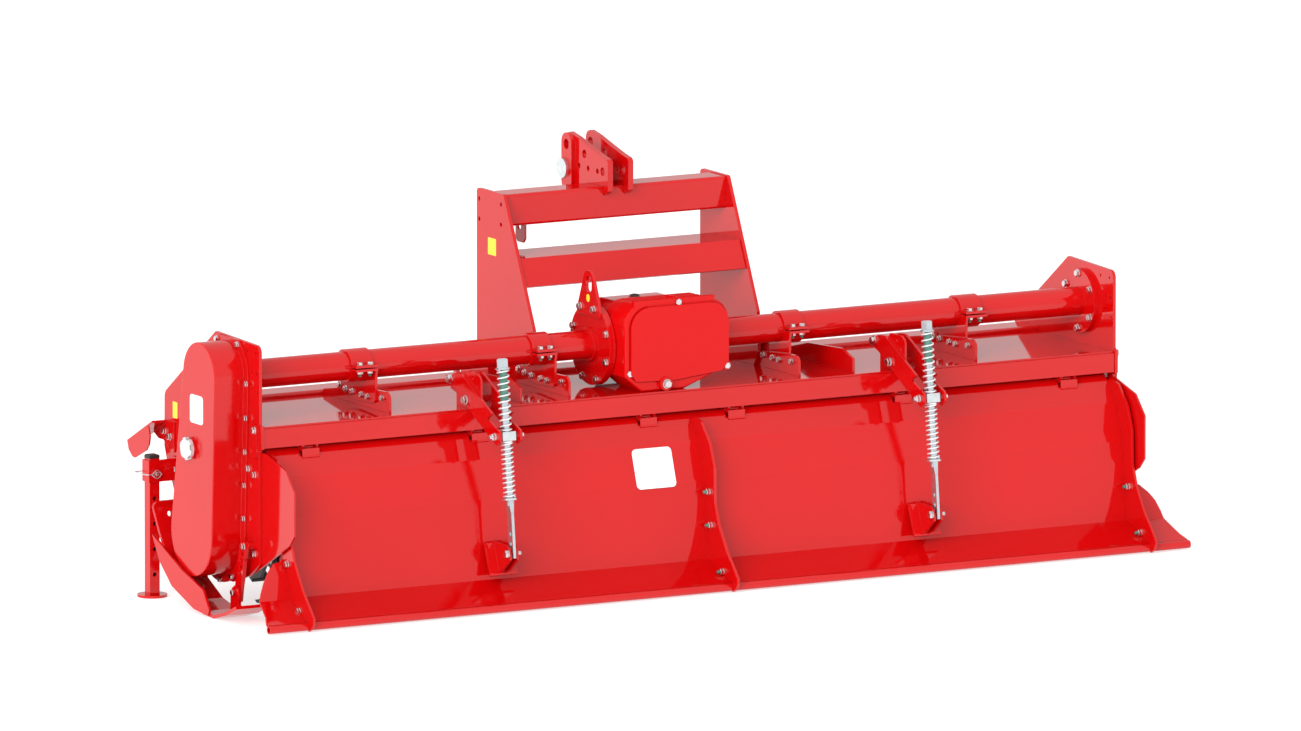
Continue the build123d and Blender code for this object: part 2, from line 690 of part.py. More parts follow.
# end wings of the gate, outside the end ribs and under the side shields
with BuildPart() as tailgate_wings:
    low = (-119.0, 79.0)
    # lower leaf, in the plane of the gate's foot
    for sgn in (-1, 1):
        x0 = GATE_HALF + 8 if sgn > 0 else -1620.0
        with BuildSketch(side(x0)):
            with BuildLine():
                Polyline(*sheet_points([(-108, 200), (-135, 150), (-152, 82), (-254.7, 25.15)], -GATE_T), close=True)
            make_face()
        extrude(amount=1620.0 - GATE_HALF - 8)
        # trimmed to the quarter-round outline seen from behind
        with BuildSketch(rear(-300)):
            with BuildLine():
                s = sgn
                Polyline((s * 1484, 240), (s * 1496, 196), (s * 1524, 190), (s * 1549, 167), (s * 1569, 140),
                         (s * 1584, 107), (s * 1594, 76), (s * 1606, 46), (s * 1621, 28), (s * 1640, 28),
                         (s * 1640, 240), close=True)
            make_face()
        extrude(amount=-300, mode=Mode.SUBTRACT)
save(tailgate_wings.part, "tailgate_wings")

with BuildPart() as tailgate_pipe:
    with BuildSketch(side(-PIPE_HALF)):
        with Locations((PIPE_Y, PIPE_Z)):
            Circle(PIPE_R)
            Circle(PIPE_R - 3.2, mode=Mode.SUBTRACT)
    extrude(amount=2 * PIPE_HALF)
save(tailgate_pipe.part, "tailgate_pipe")

# hinges: lugs under the rear beam, knuckles and pins on the gate
with BuildPart() as hinge_lugs:
    for x in HINGE_XS:
        for a in (x - 28, x + 20):
            with BuildSketch(side(a)):
                with BuildLine():
                    Polyline((-8, 529), (40, 529), (30, 508), (14, 505), (0, 510), close=True)
                make_face()
                with Locations((HINGE_Y, HINGE_Z)):
                    Circle(6.05, mode=Mode.SUBTRACT)
            extrude(amount=8)
save(hinge_lugs.part, "hinge_lugs")

with BuildPart() as gate_knuckles:
    for x in HINGE_XS:
        with BuildSketch(side(x - 18)):
            with Locations((HINGE_Y, HINGE_Z)):
                Circle(9)
            with BuildLine():
                Polyline((-15.0, 481.2), (-9.2, 475.9), (22.5, 511.2), (23, 519), (6, 519),
                         (9, 508.3), (-1.4, 496.2), close=True)
            make_face()
        extrude(amount=36)
        with BuildSketch(side(x - 32)):
            with Locations((HINGE_Y, HINGE_Z)):
                Circle(6)
        extrude(amount=64)
save(gate_knuckles.part, "gate_knuckles")

# clevises that hold the spring rods' eyes
CLEVIS_LINE = [(-109.8, 200), (-204, 199), (-220, 192), (-230, 163), (-229, 156), (-174, 112), (-119.8, 112)]
with BuildPart() as spring_clevises:
    for x in (-SPRING_X, SPRING_X):
        for a in (x - 16.5, x + 8.5):
            with BuildSketch(side(a)):
                with BuildLine():
                    Polyline(*CLEVIS_LINE, close=True)
                make_face()
            extrude(amount=8)
        with BuildSketch(side(x - 48)):
            with BuildLine():
                Polyline((-127, 196), (-166, 101), (-158.6, 98), (-119.6, 193), close=True)
            make_face()
        extrude(amount=96)
        with BuildSketch(side(x - 20)):
            with Locations((EYE_Y, EYE_Z)):
                Circle(5.5)
        extrude(amount=40)
save(spring_clevises.part, "spring_clevises")

# ---------------------------------------------------------------------------
# Spring arms on the hood, pivot blocks, rods and springs
# ---------------------------------------------------------------------------
ARM_LINE = [(112, 664), (106, 684), (80, 695), (36, 698), (-158, 602), (-130, 583), (-206, 552),
            (-210, 524), (-188, 507), (-108, 547), (-14, 593), (74, 643), (100, 652)]
ARM_BOLTS = [(104, 674), (6.5, 621)]
with BuildPart() as spring_arms:
    for x in (-SPRING_X, SPRING_X):
        for a in (x - 40, x + 32):
            with BuildSketch(side(a)):
                with BuildLine():
                    Polyline(*ARM_LINE, close=True)
                make_face()
                with Locations((BLOCK_Y, BLOCK_Z)):
                    Circle(8.05, mode=Mode.SUBTRACT)
                with Locations((-14, 609)):
                    SlotOverall(16, 7, rotation=70, mode=Mode.SUBTRACT)
                with Locations((-118, 553)):
                    SlotOverall(14, 7, rotation=70, mode=Mode.SUBTRACT)
            extrude(amount=8)
save(spring_arms.part, "spring_arms")

with BuildPart() as arm_brackets:
    for x in (-SPRING_X, SPRING_X):
        with BuildSketch(side(x - 32)):
            with BuildLine():
                Polyline((80, DECK_TOP), (80, 640), (18, 709), (-50, 710), (-68, 700), (-74, 690),
                         (-74, 628), (-40, 604), (-4, DECK_TOP), close=True)
            make_face()
            with Locations((-24, 692), (-50, 668), (-28, 648)):
                Circle(5, mode=Mode.SUBTRACT)
        extrude(amount=7)
        # sleeves on the two bolts that carry the farther arm
        with BuildSketch(side(x - 32)):
            with Locations(*ARM_BOLTS):
                Circle(11)
        extrude(amount=64)
        # tie from the sleeve to the plate
        with BuildSketch(side(x - 32)):
            with BuildLine():
                Polyline((60, 640), (112, 664), (112, 682), (60, 664), close=True)
            make_face()
        extrude(amount=7)
save(arm_brackets.part, "arm_brackets")

lean = math.degrees(math.atan2(BLOCK_Y - EYE_Y, BLOCK_Z - EYE_Z))
rod_len = math.hypot(BLOCK_Y - EYE_Y, BLOCK_Z - EYE_Z)
up_y, up_z = math.sin(math.radians(lean)), math.cos(math.radians(lean))


def along(x, s):
    """Plane square to the spring rod, s above the pivot block's centre."""
    return Plane(origin=(x, BLOCK_Y - Y_MID + s * up_y, BLOCK_Z + s * up_z), x_dir=(1, 0, 0),
                 z_dir=(0, up_y, up_z))


for sgn, word in ((-1, "left"), (1, "right")):
    x = sgn * SPRING_X
    with BuildPart() as spring_block:
        with BuildSketch(along(x, -14)):
            Rectangle(46, 40)
        extrude(amount=28)
        with BuildSketch(side(x - 40)):
            with Locations((BLOCK_Y, BLOCK_Z)):
                Circle(8)
        extrude(amount=80)
        with BuildSketch(along(x, -40)):
            Circle(ROD_R + 0.8)
        extrude(amount=80, mode=Mode.SUBTRACT)
    save(spring_block.part, "spring_block_" + word)

    with BuildPart() as spring_rod:
        with BuildSketch(along(x, -214)):
            Circle(ROD_R)
        extrude(amount=214 + 236)
        # collar that the lower spring bears on
        with BuildSketch(along(x, -196)):
            Circle(22)
        extrude(amount=6)
        # flanged nut on top
        with BuildSketch(along(x, 206)):
            Circle(21.5)
        extrude(amount=4)
        with BuildSketch(along(x, 210)):
            RegularPolygon(19, 6)
        extrude(amount=26)
        # flat bar to the eye, tapering out of the round
        with BuildSketch(along(x, -rod_len - 14)):
            Rectangle(9, 28)
        extrude(amount=rod_len - 226)
        with BuildSketch(along(x, -240)):
            Rectangle(9, 28)
        with BuildSketch(along(x, -198)):
            Rectangle(19, 19)
        loft()
        with BuildSketch(side(x - 10)):
            with Locations((EYE_Y, EYE_Z)):
                Circle(9.6)
            with Locations((EYE_Y + 3.3, EYE_Z + 30), (EYE_Y + 6.5, EYE_Z + 60)):
                Circle(6)
        extrude(amount=20, mode=Mode.SUBTRACT)
    save(spring_rod.part, "spring_rod_" + word)

    with BuildPart() as upper_spring:
        with BuildSketch(along(x, 14.5)):
            Circle(SPRING_R)
            Circle(SPRING_IN, mode=Mode.SUBTRACT)
        extrude(amount=191)
    save(upper_spring.part, "upper_spring_" + word)

    with BuildPart() as lower_spring:
        with BuildSketch(along(x, -189.5)):
            Circle(SPRING_R)
            Circle(SPRING_IN, mode=Mode.SUBTRACT)
        extrude(amount=175)
    save(lower_spring.part, "lower_spring_" + word)

# ---------------------------------------------------------------------------
# Parking stands
# ---------------------------------------------------------------------------
with BuildPart() as stand_brackets:
    for sgn in (-1, 1):
        x = sgn * LEG_X
        with BuildSketch(level(SLEEVE_Z0)):
            with Locations((x, LEG_Y)):
                Rectangle(SLEEVE_S, SLEEVE_S)
                Rectangle(LEG_S + 0.8, LEG_S + 0.8, mode=Mode.SUBTRACT)
            # arm to the side plate
            with Locations((sgn * (PLATE_OUT + LEG_X - SLEEVE_S / 2) / 2, LEG_Y - 16)):
                Rectangle(LEG_X - SLEEVE_S / 2 - PLATE_OUT, 10)
        extrude(amount=SLEEVE_Z1 - SLEEVE_Z0)
        # foot of the arm on the side plate
        with BuildSketch(level(SLEEVE_Z0 - 4)):
            with Locations((sgn * (PLATE_OUT + 5), LEG_Y - 46)):
                Rectangle(10, 110)
        extrude(amount=SLEEVE_Z1 - SLEEVE_Z0 + 8)
save(stand_brackets.part, "stand_brackets")

for sgn, word in ((-1, "left"), (1, "right")):
    x = sgn * LEG_X
    with BuildPart() as parking_leg:
        with BuildSketch(level(8)):
            with Locations((x, LEG_Y)):
                Rectangle(LEG_S, LEG_S)
                Rectangle(LEG_S - 8, LEG_S - 8, mode=Mode.SUBTRACT)
        extrude(amount=LEG_TOP - 8)
        with BuildSketch(level(0)):
            with Locations((x, LEG_Y)):
                Circle(FOOT_R)
        extrude(amount=8)
        with BuildSketch(level(LEG_TOP)):
            with Locations((x, LEG_Y)):
                Rectangle(LEG_S, LEG_S)
        extrude(amount=4)
        with BuildSketch(rear(LEG_Y - 30)):
            with Locations(*[(x, h) for h in LEG_HOLES]):
                Circle(6.5)
        extrude(amount=-60, mode=Mode.SUBTRACT)
    save(parking_leg.part, "parking_leg_" + word)

# ---------------------------------------------------------------------------
# Skids
# ---------------------------------------------------------------------------
SOLE_LINE = [(483, 306), (483, 286), (436, 206), (338, 74), (240, 24), (150, 4), (85, 0), (10, 20), (-62, 50)]
STRUT_TOP, STRUT_PIN = (40.0, 224.0), (77.0, 77.0)
with BuildPart() as skids:
    for sgn in (-1, 1):
        with BuildSketch(side(start(sgn, PLATE_OUT, 1622))):
            with BuildLine():
                Polyline(*sheet_points(SOLE_LINE, -10), close=True)
            make_face()
        extrude(amount=1622 - PLATE_OUT)
        with BuildSketch(side(start(sgn, 1622, 1630))):
            with BuildLine():
                Polyline((467, 206), (418, 127), (341, 64), (200, 14), (108, 6), (100, 24), (142, 82),
                         (277, 123), close=True)
            make_face()
        extrude(amount=8)
        # lug for the height strut
        with BuildSketch(side(start(sgn, 1544, 1554))):
            with BuildLine():
                Polyline((40, 18), (104, 6), (102, 66), (94, 88), (76, 99), (56, 92), (46, 74), (52, 44),
                         close=True)
            make_face()
            with Locations(STRUT_PIN):
                Circle(8.05, mode=Mode.SUBTRACT)
        extrude(amount=10)
        # rounded corners and the bolt hole at the sole's upper end
        with BuildSketch(rear(440)):
            with BuildLine():
                Polyline((sgn * 1600, 306), (sgn * 1600, 320), (sgn * 1640, 320), (sgn * 1640, 284),
                         (sgn * 1622, 284))
                ThreePointArc((sgn * 1622, 284), (sgn * 1615.6, 299.6), (sgn * 1600, 306))
            make_face()
            with Locations((sgn * 1572, 266)):
                Circle(8)
        extrude(amount=-60, mode=Mode.SUBTRACT)
save(skids.part, "skids")

with BuildPart() as skid_struts:
    for sgn in (-1, 1):
        with BuildSketch(side(start(sgn, 1530, 1542))):
            with BuildLine():
                Polyline((66, 48), (98, 48), (97, 90), (84, 137), (72, 205), (60, 236), (38, 238),
                         (26, 220), (37, 185), (46, 137), (58, 90), close=True)
            make_face()
            with Locations((49, 199), (54, 178), (59, 157), (63, 136)):
                Circle(6.5, mode=Mode.SUBTRACT)
        extrude(amount=12)
        # spacer to the side plate and the pin through the skid's lug
        with BuildSketch(side(start(sgn, PLATE_OUT, 1530))):
            with Locations(STRUT_TOP):
                Circle(12)
        extrude(amount=1530 - PLATE_OUT)
        with BuildSketch(side(start(sgn, 1542, 1558))):
            with Locations(STRUT_PIN):
                Circle(8)
        extrude(amount=16)
save(skid_struts.part, "skid_struts")

# ---------------------------------------------------------------------------
# Front corner deflectors
# ---------------------------------------------------------------------------
with BuildPart() as deflectors:
    for sgn in (-1, 1):
        with BuildSketch(side(start(sgn, PLATE_OUT, 1563))):
            with BuildLine():
                Polyline((590, 535), (618, 521), (754, 452), (751, 446), (615, 515), (590, 528), close=True)
            make_face()
        extrude(amount=1563 - PLATE_OUT)
        with BuildSketch(side(start(sgn, 1558, 1563))):
            with BuildLine():
                Polyline((618, 521), (754, 452), (744, 424), (720, 406), (704, 404), (630, 437),
                         (612, 458), (606, 484), close=True)
            make_face()
        extrude(amount=5)
        with BuildSketch(side(start(sgn, PLATE_OUT, PLATE_OUT + 6))):
            with BuildLine():
                Polyline((540, 534), (590, 535), (618, 521), (680, 489), (640, 470), (608, 470),
                         (560, 440), (540, 440), close=True)
            make_face()
        extrude(amount=6)
save(deflectors.part, "deflectors")
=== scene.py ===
import math

import bpy
from mathutils import Matrix, Vector


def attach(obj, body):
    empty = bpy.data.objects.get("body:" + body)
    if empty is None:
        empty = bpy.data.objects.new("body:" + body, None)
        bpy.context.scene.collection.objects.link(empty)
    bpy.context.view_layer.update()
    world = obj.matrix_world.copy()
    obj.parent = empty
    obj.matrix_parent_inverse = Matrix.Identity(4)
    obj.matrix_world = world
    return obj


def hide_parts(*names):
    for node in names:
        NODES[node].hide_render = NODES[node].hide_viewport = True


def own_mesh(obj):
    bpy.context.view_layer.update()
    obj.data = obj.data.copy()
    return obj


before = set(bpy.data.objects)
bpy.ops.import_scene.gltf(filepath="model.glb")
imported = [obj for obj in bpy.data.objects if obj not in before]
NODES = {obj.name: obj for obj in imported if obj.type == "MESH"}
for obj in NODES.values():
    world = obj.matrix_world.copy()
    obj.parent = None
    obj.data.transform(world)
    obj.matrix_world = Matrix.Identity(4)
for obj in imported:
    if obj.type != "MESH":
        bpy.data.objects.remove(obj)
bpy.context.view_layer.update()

Y_MID = 226.0


def M(x, y, z):
    """Design millimetres (X, depth, height) to metres in the row frame."""
    return Vector((x / 1000.0, (y - Y_MID) / 1000.0, z / 1000.0))


# ---------------------------------------------------------------------------
# Materials
# ---------------------------------------------------------------------------
def new_material(name):
    m = bpy.data.materials.new(name)
    m.use_nodes = True
    nt = m.node_tree
    nt.nodes.clear()
    out = nt.nodes.new("ShaderNodeOutputMaterial")
    bsdf = nt.nodes.new("ShaderNodeBsdfPrincipled")
    nt.links.new(bsdf.outputs["BSDF"], out.inputs["Surface"])
    return m, nt, bsdf


def noise(nt, scale, detail=3.0, rough=0.5, stretch=None, distortion=0.0):
    tc = nt.nodes.new("ShaderNodeTexCoord")
    n = nt.nodes.new("ShaderNodeTexNoise")
    n.inputs["Scale"].default_value = scale
    n.inputs["Detail"].default_value = detail
    n.inputs["Roughness"].default_value = rough
    n.inputs["Distortion"].default_value = distortion
    if stretch:
        mp = nt.nodes.new("ShaderNodeMapping")
        mp.inputs["Scale"].default_value = stretch
        nt.links.new(tc.outputs["Object"], mp.inputs["Vector"])
        nt.links.new(mp.outputs["Vector"], n.inputs["Vector"])
    else:
        nt.links.new(tc.outputs["Object"], n.inputs["Vector"])
    return n.outputs["Fac"]


def ramp(nt, fac, stops):
    r = nt.nodes.new("ShaderNodeValToRGB")
    el = r.color_ramp.elements
    while len(el) < len(stops):
        el.new(0.5)
    for e, (p, c) in zip(el, stops):
        e.position = p
        e.color = (*c, 1.0)
    nt.links.new(fac, r.inputs["Fac"])
    return r.outputs["Color"]


def bump(nt, height, strength, distance, base=None):
    b = nt.nodes.new("ShaderNodeBump")
    b.inputs["Strength"].default_value = strength
    b.inputs["Distance"].default_value = distance
    nt.links.new(height, b.inputs["Height"])
    if base is not None:
        nt.links.new(base, b.inputs["Normal"])
    return b.outputs["Normal"]


def soft_edges(nt, radius):
    b = nt.nodes.new("ShaderNodeBevel")
    b.samples = 6
    b.inputs["Radius"].default_value = radius
    return b.outputs["Normal"]


def enamel(name, a=(0.53, 0.0016, 0.0022), b=(0.485, 0.0013, 0.0017), edge=0.0016, peel=0.05, cast=0.0,
           rough=0.40, coat_rough=0.06, coat=1.0):
    """Gloss enamel: slow tone drift, orange peel under a clear top layer."""
    m, nt, s = new_material(name)
    nt.links.new(ramp(nt, noise(nt, 2.3, 4.0), [(0.30, b), (0.70, a)]), s.inputs["Base Color"])
    rr = nt.nodes.new("ShaderNodeMapRange")
    rr.inputs["To Min"].default_value = rough - 0.05
    rr.inputs["To Max"].default_value = rough + 0.07
    nt.links.new(noise(nt, 9.0, 5.0, 0.6), rr.inputs["Value"])
    nt.links.new(rr.outputs["Result"], s.inputs["Roughness"])
    n = soft_edges(nt, edge)
    n = bump(nt, noise(nt, 260.0, 2.0), peel, 0.0004, n)
    if cast:
        n = bump(nt, noise(nt, 95.0, 5.0, 0.65), cast, 0.0012, n)
    nt.links.new(n, s.inputs["Normal"])
    nt.links.new(n, s.inputs["Coat Normal"])
    s.inputs["Coat Weight"].default_value = coat
    s.inputs["Coat Roughness"].default_value = coat_rough
    s.inputs["Coat IOR"].default_value = 1.5
    s.inputs["IOR"].default_value = 1.45
    s.inputs["Specular IOR Level"].default_value = 0.0
    return m


def metal(name, a, b, rough=0.28, metallic=0.9, edge=0.0007, grain=600.0, strength=0.08, stretch=None):
    m, nt, s = new_material(name)
    nt.links.new(ramp(nt, noise(nt, 35.0, 4.0, 0.6), [(0.3, a), (0.7, b)]), s.inputs["Base Color"])
    rr = nt.nodes.new("ShaderNodeMapRange")
    rr.inputs["To Min"].default_value = rough - 0.08
    rr.inputs["To Max"].default_value = rough + 0.10
    nt.links.new(noise(nt, 120.0, 4.0, 0.6, stretch), rr.inputs["Value"])
    nt.links.new(rr.outputs["Result"], s.inputs["Roughness"])
    n = bump(nt, noise(nt, grain, 3.0, 0.5, stretch), strength, 0.0003, soft_edges(nt, edge))
    nt.links.new(n, s.inputs["Normal"])
    s.inputs["Metallic"].default_value = metallic
    return m


RED = enamel("red_enamel")
RED_SHEET = enamel("red_enamel_sheet", edge=0.0010, peel=0.035)
RED_CAST = enamel("red_enamel_cast", edge=0.0028, cast=0.16, peel=0.06, rough=0.34, coat_rough=0.09)
RED_COVER = enamel("red_enamel_cover", a=(0.57, 0.0016, 0.0022), b=(0.53, 0.0013, 0.0017), edge=0.0012, cast=0.10,
                   peel=0.05, rough=0.36, coat_rough=0.10, coat=0.5)
ZINC = metal("zinc_plate", (0.60, 0.65, 0.67), (0.76, 0.80, 0.81), rough=0.22)
# zinc bolts: the pinkish tint in their base colour is painted reflection of the red enamel round them
BOLT_RED_REFLECTION = metal("zinc_bolt_painted_red_reflection", (0.62, 0.55, 0.55), (0.76, 0.70, 0.70), rough=0.16, metallic=1.0)
PLUG = metal("zinc_bright", (0.58, 0.64, 0.66), (0.70, 0.75, 0.76), rough=0.32, metallic=0.45)
ZINC_ROD = metal("zinc_rod", (0.50, 0.56, 0.60), (0.62, 0.68, 0.71), rough=0.24, metallic=0.9, stretch=(1, 1, 0.12))
THREAD = metal("thread_chromate", (0.10, 0.27, 0.21), (0.20, 0.42, 0.34), rough=0.36, metallic=0.75)
SPRING = metal("spring_wire", (0.80, 0.84, 0.86), (0.90, 0.93, 0.94), rough=0.24, metallic=0.6)
BLACK = metal("black_forged", (0.012, 0.012, 0.013), (0.030, 0.029, 0.028), rough=0.46, metallic=0.0,
              grain=180.0, strength=0.25, edge=0.0016)
PLASTIC = metal("black_moulded", (0.014, 0.014, 0.015), (0.024, 0.024, 0.025), rough=0.52, metallic=0.0,
                grain=900.0, strength=0.12)
WHITE_LABEL = metal("label_white", (0.80, 0.80, 0.80), (0.86, 0.86, 0.86), rough=0.34, metallic=0.0,
                    grain=500.0, strength=0.02, edge=0.0003)
YELLOW_LABEL = metal("label_yellow", (0.86, 0.66, 0.02), (0.92, 0.72, 0.03), rough=0.34, metallic=0.0,
                     grain=500.0, strength=0.02, edge=0.0003)

CAST_NODES = ("gearbox_housing", "drive_case", "right_bearing")
SHEET_NODES = ("tailgate_sheet", "hood_deck", "side_plates", "side_shields", "tailgate_wings")
for name, o in NODES.items():
    m = RED
    if name in CAST_NODES:
        m = RED_CAST
    elif name == "gearbox_cover":
        m = RED_COVER
    elif name in SHEET_NODES:
        m = RED_SHEET
    elif name == "rotor_blades":
        m = BLACK
    elif name.startswith("spring_rod"):
        m = ZINC_ROD
    elif name.startswith(("spring_block", "upper_spring", "lower_spring")) or name in ("top_link_pin", "inspection_cap", "input_shaft"):
        m = ZINC
    o.data.materials.clear()
    o.data.materials.append(m)


# ---------------------------------------------------------------------------
# Mesh building, in design millimetres
# ---------------------------------------------------------------------------
class Mesh:
    def __init__(self, *mats):
        self.v, self.f, self.mi, self.sm = [], [], [], []
        self.mats = mats

    def add(self, verts, faces, mat=0, smooth=False):
        n = len(self.v)
        self.v += [tuple(p) for p in verts]
        for f in faces:
            self.f.append(tuple(i + n for i in f))
            self.mi.append(mat)
            self.sm.append(smooth)

    def rings(self, rings, mat=0, smooth=False, caps=True, closed=False):
        """Skin a list of rings of equal count."""
        k = len(rings[0])
        verts = [p for r in rings for p in r]
        faces = []
        n = len(rings)
        for i in range(n if closed else n - 1):
            j = (i + 1) % n
            for a in range(k):
                b = (a + 1) % k
                faces.append((i * k + a, i * k + b, j * k + b, j * k + a))
        base = len(self.v)
        self.add(verts, faces, mat, smooth)
        if caps and not closed:
            self.f.append(tuple(base + i for i in range(k))[::-1])
            self.mi.append(mat); self.sm.append(False)
            self.f.append(tuple(base + (n - 1) * k + i for i in range(k)))
            self.mi.append(mat); self.sm.append(False)

    def lathe(self, p, axis, profile, n=24, mat=0, smooth=True, turn=0.0):
        """Revolve (radius, height) pairs round the axis through p, with sharp caps."""
        u, w, a = basis(axis)
        rings = []
        for r, h in profile:
            rings.append([p + a * h + (u * math.cos(t) + w * math.sin(t)) * max(r, 0.01)
                          for t in (turn + 2 * math.pi * k / n for k in range(n))])
        self.rings(rings, mat, smooth)

    def plate(self, outline, x0, x1, mat=0, bevel=0.0):
        """Upright plate: outline in (depth, height), from X x0 to x1."""
        a = [Vector((x0, y, z)) for y, z in outline]
        b = [Vector((x1, y, z)) for y, z in outline]
        self.rings([a, b], mat)

    def object(self, name, body, flat=False):
        me = bpy.data.meshes.new(name)
        me.from_pydata([M(*p) for p in self.v], [], self.f)
        for m in self.mats:
            me.materials.append(m)
        me.polygons.foreach_set("material_index", self.mi)
        me.polygons.foreach_set("use_smooth", self.sm)
        me.update()
        import bmesh
        bm = bmesh.new()
        bm.from_mesh(me)
        bmesh.ops.recalc_face_normals(bm, faces=bm.faces)
        for e in bm.edges:
            if len(e.link_faces) == 2 and e.link_faces[0].normal.angle(e.link_faces[1].normal, 0) > 0.62:
                e.smooth = False
        bm.to_mesh(me)
        bm.free()
        o = bpy.data.objects.new(name, me)
        bpy.context.scene.collection.objects.link(o)
        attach(o, body)
        return o


def basis(axis):
    a = Vector(axis).normalized()
    h = Vector((0, 0, 1)) if abs(a.z) < 0.9 else Vector((1, 0, 0))
    u = h.cross(a).normalized()
    w = a.cross(u).normalized()
    return u, w, a


def V(x, y, z):
    return Vector((x, y, z))


def hexagon(mesh, p, axis, af, h, mat=0, turn=0.0, chamfer=True):
    r = af / math.sqrt(3)
    u, w, a = basis(axis)
    def ring(rr, hh):
        return [p + a * hh + (u * math.cos(t) + w * math.sin(t)) * rr
                for t in (turn + math.pi / 3 * k for k in range(6))]
    c = h * 0.16
    mesh.rings([ring(r, 0), ring(r, h - c), ring(r * 0.87, h)], mat)
    if chamfer:
        mesh.lathe(p + a * (h - 0.01), a, [(r * 0.76, 0), (r * 0.72, h * 0.05)], 18, mat)


def bolt(mesh, p, axis, size=14.0, head=True, thread=0.0, turn=0.3, washer=True):
    """Head (or nut with thread end) standing on the face at p, looking along axis."""
    a = Vector(axis).normalized()
    af = size * 1.5
    off = 0.0
    if washer:
        wr, wt = size * 1.0, size * 0.17
        mesh.lathe(p, a, [(wr - 0.4, 0), (wr, 0.4), (wr, wt - 0.5), (wr - 0.6, wt)], 24, 0)
        off = wt
    hexagon(mesh, p + a * off, a, af, size * (0.62 if head else 0.8), 0, turn)
    if thread > 0:
        base = off + size * 0.8
        prof = []
        pitch = 1.75
        n = int(thread / pitch)
        for i in range(n):
            prof += [(size * 0.5, base + i * pitch), (size * 0.5 - 0.9, base + (i + 0.5) * pitch)]
        prof += [(size * 0.42, base + n * pitch), (size * 0.36, base + n * pitch + 0.6)]
        mesh.lathe(p, a, prof, 16, 1)


def wire_path(mesh, pts, r, n=8, mat=0):
    """Round wire of radius r along a smooth line through pts."""
    pts = [Vector(p) for p in pts]
    fine = []
    for i in range(len(pts) - 1):
        p0, p1, p2, p3 = pts[max(i - 1, 0)], pts[i], pts[i + 1], pts[min(i + 2, len(pts) - 1)]
        for k in range(6):
            t = k / 6.0
            fine.append(0.5 * (2 * p1 + (p2 - p0) * t + (2 * p0 - 5 * p1 + 4 * p2 - p3) * t * t
                               + (3 * p1 - p0 - 3 * p2 + p3) * t * t * t))
    fine.append(pts[-1])
    rings = []
    for i, p in enumerate(fine):
        d = (fine[min(i + 1, len(fine) - 1)] - fine[max(i - 1, 0)]).normalized()
        a = d.cross(Vector((0.13, 0.21, 0.97))).normalized()
        b = d.cross(a).normalized()
        rings.append([p + (a * math.cos(2 * math.pi * k / n) + b * math.sin(2 * math.pi * k / n)) * r for k in range(n)])
    mesh.rings(rings, mat, True)


LEFT, RIGHT, BACK, FRONT, UP, DOWN = (-1, 0, 0), (1, 0, 0), (0, -1, 0), (0, 1, 0), (0, 0, 1), (0, 0, -1)

# ---------------------------------------------------------------------------
# Spring units
# ---------------------------------------------------------------------------
BLOCK = (-178.0, 533.0)
EYE = (-217.0, 174.0)
SPRING_X = 746.0
_dy, _dz = BLOCK[0] - EYE[0], BLOCK[1] - EYE[1]
ROD_LEN = math.hypot(_dy, _dz)
ROD_UP = Vector((0, _dy / ROD_LEN, _dz / ROD_LEN))


def on_rod(x, s):
    return Vector((x, BLOCK[0], BLOCK[1])) + ROD_UP * s


def coil(name, x, s0, s1, turns, body, radius=17.2, wire=2.7, phase=0.0):
    """Closed-end compression spring between s0 and s1 along the rod."""
    u, w, a = basis(ROD_UP)
    length = s1 - s0 - 2 * wire
    per = 30
    total = int(round(turns * per))
    ends = 0.85
    pts = []
    for i in range(total + 1):
        t = i / per
        if t < ends:
            h = wire * 2 * t * 0.55
        elif t > turns - ends:
            h = length - wire * 2 * (turns - t) * 0.55
        else:
            lo, hi = wire * 2 * ends * 0.55, length - wire * 2 * ends * 0.55
            q = (t - ends) / (turns - 2 * ends)
            h = lo + (hi - lo) * q
        ang = phase + 2 * math.pi * t
        pts.append(on_rod(x, s0 + wire + h) + (u * math.cos(ang) + w * math.sin(ang)) * radius)
    rings = []
    n = 10
    for i, p in enumerate(pts):
        d = (pts[min(i + 1, total)] - pts[max(i - 1, 0)]).normalized()
        c = on_rod(x, 0)
        rad = (p - c) - a * (p - c).dot(a)
        rad.normalize()
        b = d.cross(rad).normalized()
        rings.append([p + (rad * math.cos(k * 2 * math.pi / n) + b * math.sin(k * 2 * math.pi / n)) * wire
                      for k in range(n)])
    m = Mesh(SPRING)
    m.rings(rings, 0, True)
    return m.object(name, body)


